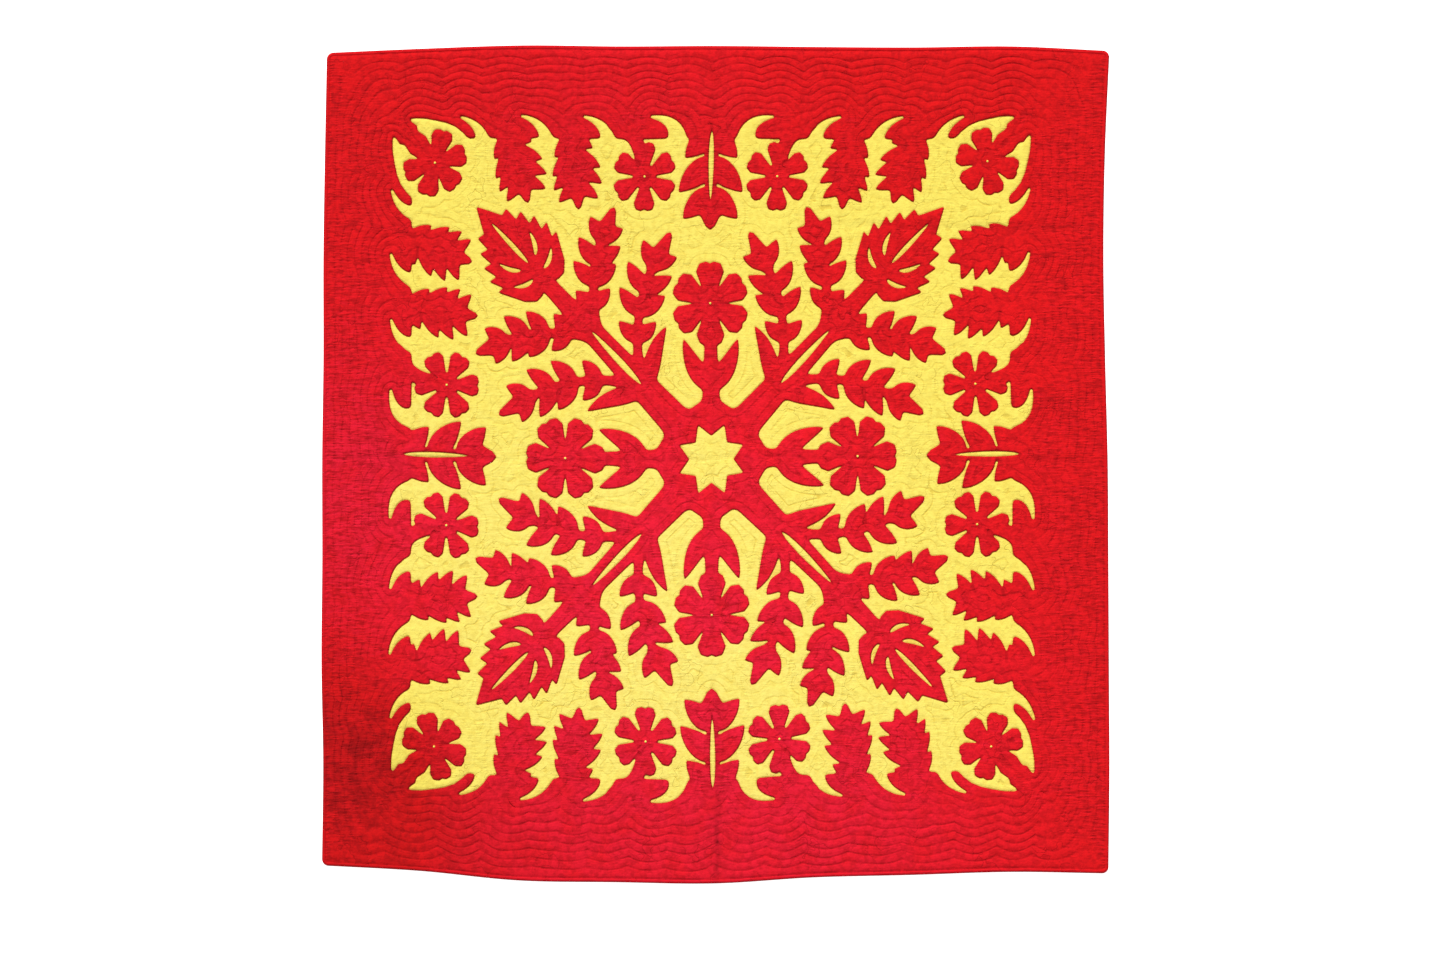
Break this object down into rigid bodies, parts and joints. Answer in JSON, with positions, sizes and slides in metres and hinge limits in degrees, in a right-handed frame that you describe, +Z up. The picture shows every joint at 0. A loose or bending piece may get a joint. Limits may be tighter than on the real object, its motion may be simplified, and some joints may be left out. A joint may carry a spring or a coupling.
{
  "type": "tivaevae quilt",
  "caption": "Large flat tivaevae quilt: red cotton cut in a folded pattern of flowers and leaves, sewn over yellow, echo quilted and bound in red.",
  "frame": {"origin": "centre of the cloth on its underside, at the middle of its width and length", "axes": "+X to the right across the width, +Y along the length to the top edge, +Z up out of the patterned face"},
  "size_m": [2.3962, 2.5486, 0.008],
  "materials": {
    "yellow_cotton": "matt plain weave",
    "red_cotton_frame": "matt plain weave",
    "red_cotton_centre": "matt plain weave",
    "red_cotton_binding": "matt plain weave"
  },
  "bodies": {
    "root": {"quilt_body": "yellow_cotton", "applique_frame": "red_cotton_frame", "applique_centre": "red_cotton_centre", "binding": "red_cotton_binding"}
  },
  "joints": []
}
